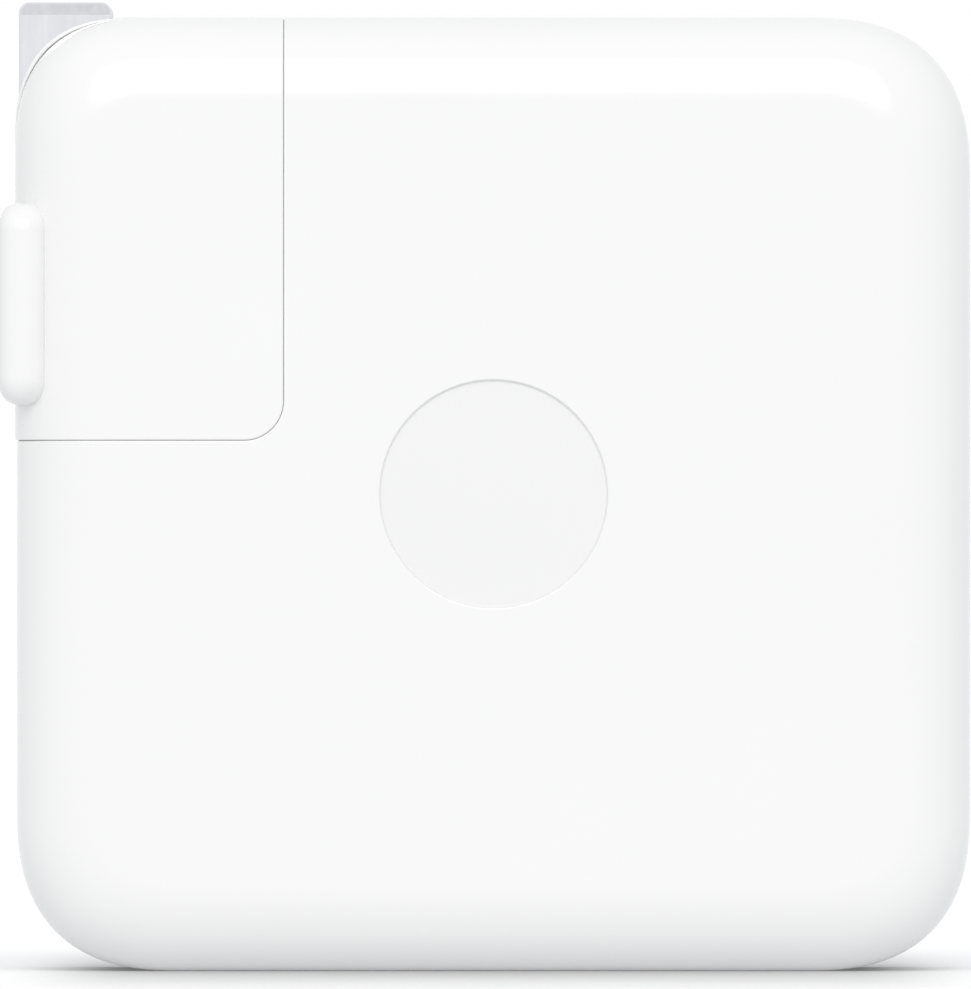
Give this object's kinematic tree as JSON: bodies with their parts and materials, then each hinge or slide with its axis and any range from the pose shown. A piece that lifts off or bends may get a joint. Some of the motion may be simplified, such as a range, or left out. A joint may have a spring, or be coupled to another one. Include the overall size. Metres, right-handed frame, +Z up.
{
  "type": "laptop power adapter",
  "caption": "Square rounded wall-plug power adapter for a laptop, with a slide-off corner plug head, folding blades and a USB-C output port.",
  "frame": {"origin": "middle of the flat on the narrow base that the adapter stands on", "axes": "+Z up the body's height, +X to the right from the plug head towards the output port, +Y from the broad front face to the broad rear face"},
  "size_m": [0.0662, 0.0286, 0.0661],
  "materials": {
    "body_white": "smooth semi-gloss white polycarbonate",
    "head_inner": "smooth white plastic",
    "black_plastic": "moulded matt black",
    "nickel": "nickel plated, satin",
    "copper": "enamelled copper",
    "brass": "bright brass",
    "board": "glass-fibre board with green mask",
    "yellow_plastic": "yellow film and tape",
    "ferrite": "sintered ferrite",
    "can_sleeve": "sleeved aluminium can",
    "can_metal": "bare aluminium",
    "blue_ceramic": "dipped ceramic disc",
    "sheet": "insulating film",
    "thermal": "soft thermal pad",
    "lead_insulation": "insulated wire"
  },
  "bodies": {
    "adapter": {"front_shell": "body_white", "rear_shell": "body_white", "inlet_housing": "head_inner", "inlet_pins": "nickel", "inlet_leads": "lead_insulation", "ground_stud": "nickel", "ground_strap": "copper", "main_board": "board", "fuse": "black_plastic", "x_capacitor": "yellow_plastic", "filter_core": "ferrite", "filter_windings": "copper", "line_choke": "ferrite", "bridge_rectifier": "black_plastic", "bulk_capacitors": "can_sleeve", "transformer_core": "ferrite", "transformer_winding": "yellow_plastic", "switch_transistors": "black_plastic", "y_capacitor": "blue_ceramic", "output_capacitors": "can_metal", "controller_board": "board", "output_board": "board", "output_pins": "brass", "usb_c_shell": "nickel", "usb_c_tongue": "black_plastic", "heat_spreader_front": "can_metal", "heat_spreader_rear": "can_metal", "insulator_front": "sheet", "insulator_rear": "sheet", "thermal_pad": "thermal"},
    "plug_head": {"head_shell": "body_white", "head_liner": "head_inner", "head_base": "head_inner", "wall_pad": "body_white", "nose_sleeves": "brass", "stud_track": "nickel", "wiper_contacts": "brass", "detent_spring": "nickel"},
    "blades": {"blade_hub": "head_inner", "blade_front": "nickel", "blade_rear": "nickel"}
  },
  "joints": [
    {"name": "plug_head_off", "type": "slide", "parent": "adapter", "child": "plug_head", "axis": [0, 0, 1], "range_m": [0, 0.038]},
    {"name": "blades_fold", "type": "hinge", "parent": "plug_head", "child": "blades", "pos_m": [-0.0289, 0, 0.04526], "axis": [0, -1, 0], "range_deg": [0, 90]}
  ]
}
